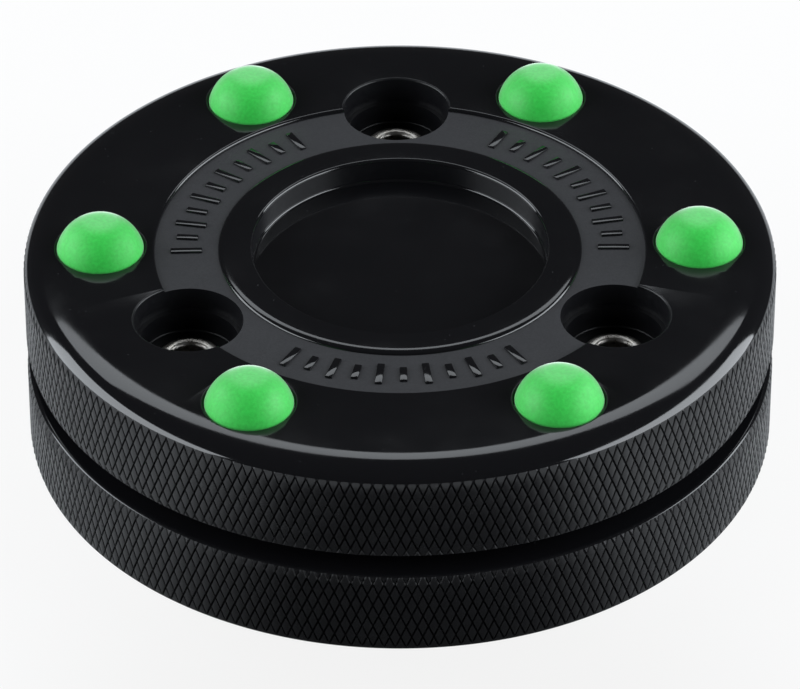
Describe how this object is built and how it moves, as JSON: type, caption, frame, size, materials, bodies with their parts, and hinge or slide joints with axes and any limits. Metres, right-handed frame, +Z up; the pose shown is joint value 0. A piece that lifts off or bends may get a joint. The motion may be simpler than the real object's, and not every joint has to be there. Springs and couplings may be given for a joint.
{
  "type": "hockey puck",
  "caption": "Two-disc off-ice hockey puck: black moulded halves held loosely by tubular rivets, with green domed runners on both faces.",
  "frame": {"origin": "under the centre of the puck, on the plane that the lower runners rest on", "axes": "+Z up through the puck's axis; +Y towards the rivet that stands alone, +X across between the other two"},
  "size_m": [0.0762, 0.0762, 0.0291],
  "materials": {
    "disc_black": "gloss moulded black plastic with a matt sunken band and a fine diamond knurl on the rim",
    "runner_green": "satin moulded bright green plastic",
    "rivet_steel": "plated tubular rivet with a rolled collar"
  },
  "bodies": {
    "lower_half": {"lower_disc": "disc_black", "lower_runner_1": "runner_green", "lower_runner_2": "runner_green", "lower_runner_3": "runner_green", "lower_runner_4": "runner_green", "lower_runner_5": "runner_green", "lower_runner_6": "runner_green"},
    "rivets": {"rivet_1": "rivet_steel", "rivet_2": "rivet_steel", "rivet_3": "rivet_steel"},
    "upper_half": {"upper_disc": "disc_black", "upper_runner_1": "runner_green", "upper_runner_2": "runner_green", "upper_runner_3": "runner_green", "upper_runner_4": "runner_green", "upper_runner_5": "runner_green", "upper_runner_6": "runner_green"}
  },
  "joints": [
    {"name": "disc_float", "type": "slide", "parent": "lower_half", "child": "rivets", "axis": [0, 0, 1], "range_m": [0, 0.0005]},
    {"name": "disc_twist", "type": "hinge", "parent": "rivets", "child": "upper_half", "pos_m": [0, 0, 0.01455], "axis": [0, 0, 1], "range_deg": [-0.65, 0.65]}
  ]
}
